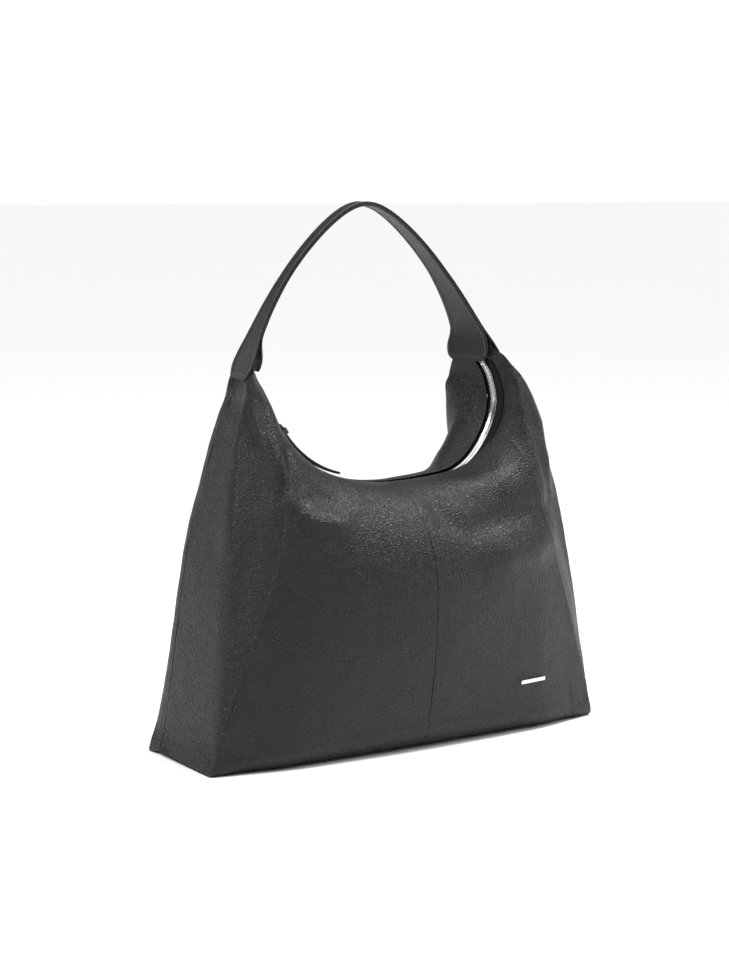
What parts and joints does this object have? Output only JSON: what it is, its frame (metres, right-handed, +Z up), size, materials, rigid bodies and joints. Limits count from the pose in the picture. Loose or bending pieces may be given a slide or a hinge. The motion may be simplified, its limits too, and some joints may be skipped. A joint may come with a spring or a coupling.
{
  "type": "hobo shoulder bag",
  "caption": "Soft black grained-leather hobo bag with a curved zip mouth, wide flat base and a two-layer shoulder strap whose flared flaps clasp the horns.",
  "frame": {"origin": "on the floor under the middle of the base", "axes": "+X to the bag's right as seen from the front, +Y to the back, +Z up"},
  "size_m": [0.438, 0.176, 0.511],
  "materials": {
    "grained_leather": "pebble grained, semi matte",
    "strap_leather": "smooth grained, semi matte, painted edges",
    "textile_lining": "woven, matte",
    "zip_tape": "woven, matte",
    "stiffener_board": "matte",
    "nickel_metal": "polished",
    "black_metal": "black lacquer"
  },
  "bodies": {
    "bag": {"front_left_panel": "grained_leather", "front_right_panel": "grained_leather", "back_left_panel": "grained_leather", "back_right_panel": "grained_leather", "base_panel": "grained_leather", "base_board": "stiffener_board", "lining_front": "textile_lining", "lining_back": "textile_lining", "zip_tape_front": "zip_tape", "zip_tape_back": "zip_tape", "zip_teeth_front": "nickel_metal", "zip_teeth_back": "nickel_metal", "zip_stop_left": "nickel_metal", "zip_stop_right": "nickel_metal", "emblem_bar": "nickel_metal", "pocket_pouch": "textile_lining", "pocket_tape_upper": "zip_tape", "pocket_tape_lower": "zip_tape", "pocket_teeth_upper": "nickel_metal", "pocket_teeth_lower": "nickel_metal"},
    "slider": {"zip_slider": "black_metal"},
    "pull": {"pull_ring": "black_metal", "pull_keeper": "black_metal", "leather_pull": "strap_leather"},
    "handle": {"strap_outer_layer": "strap_leather", "strap_inner_layer": "strap_leather"},
    "pocket_zip": {"pocket_slider": "nickel_metal", "pocket_pull_tab": "nickel_metal"}
  },
  "joints": [
    {"name": "zip_travel", "type": "hinge", "parent": "bag", "child": "slider", "pos_m": [-0.026, 0.002, 0.36], "axis": [0, -1, 0], "range_deg": [-5, 44]},
    {"name": "pull_swing", "type": "hinge", "parent": "slider", "child": "pull", "pos_m": [-0.12325, 0.002, 0.31257], "axis": [0, -1, 0], "range_deg": [0, 95]},
    {"name": "handle_tilt", "type": "hinge", "parent": "bag", "child": "handle", "pos_m": [0, 0.032, 0.347], "axis": [1, 0, 0], "range_deg": [-20, 20], "deforming": ["front_left_panel", "front_right_panel", "back_left_panel", "back_right_panel"]},
    {"name": "pocket_zip_travel", "type": "slide", "parent": "bag", "child": "pocket_zip", "axis": [1, 0, 0], "range_m": [0, 0.138]}
  ]
}
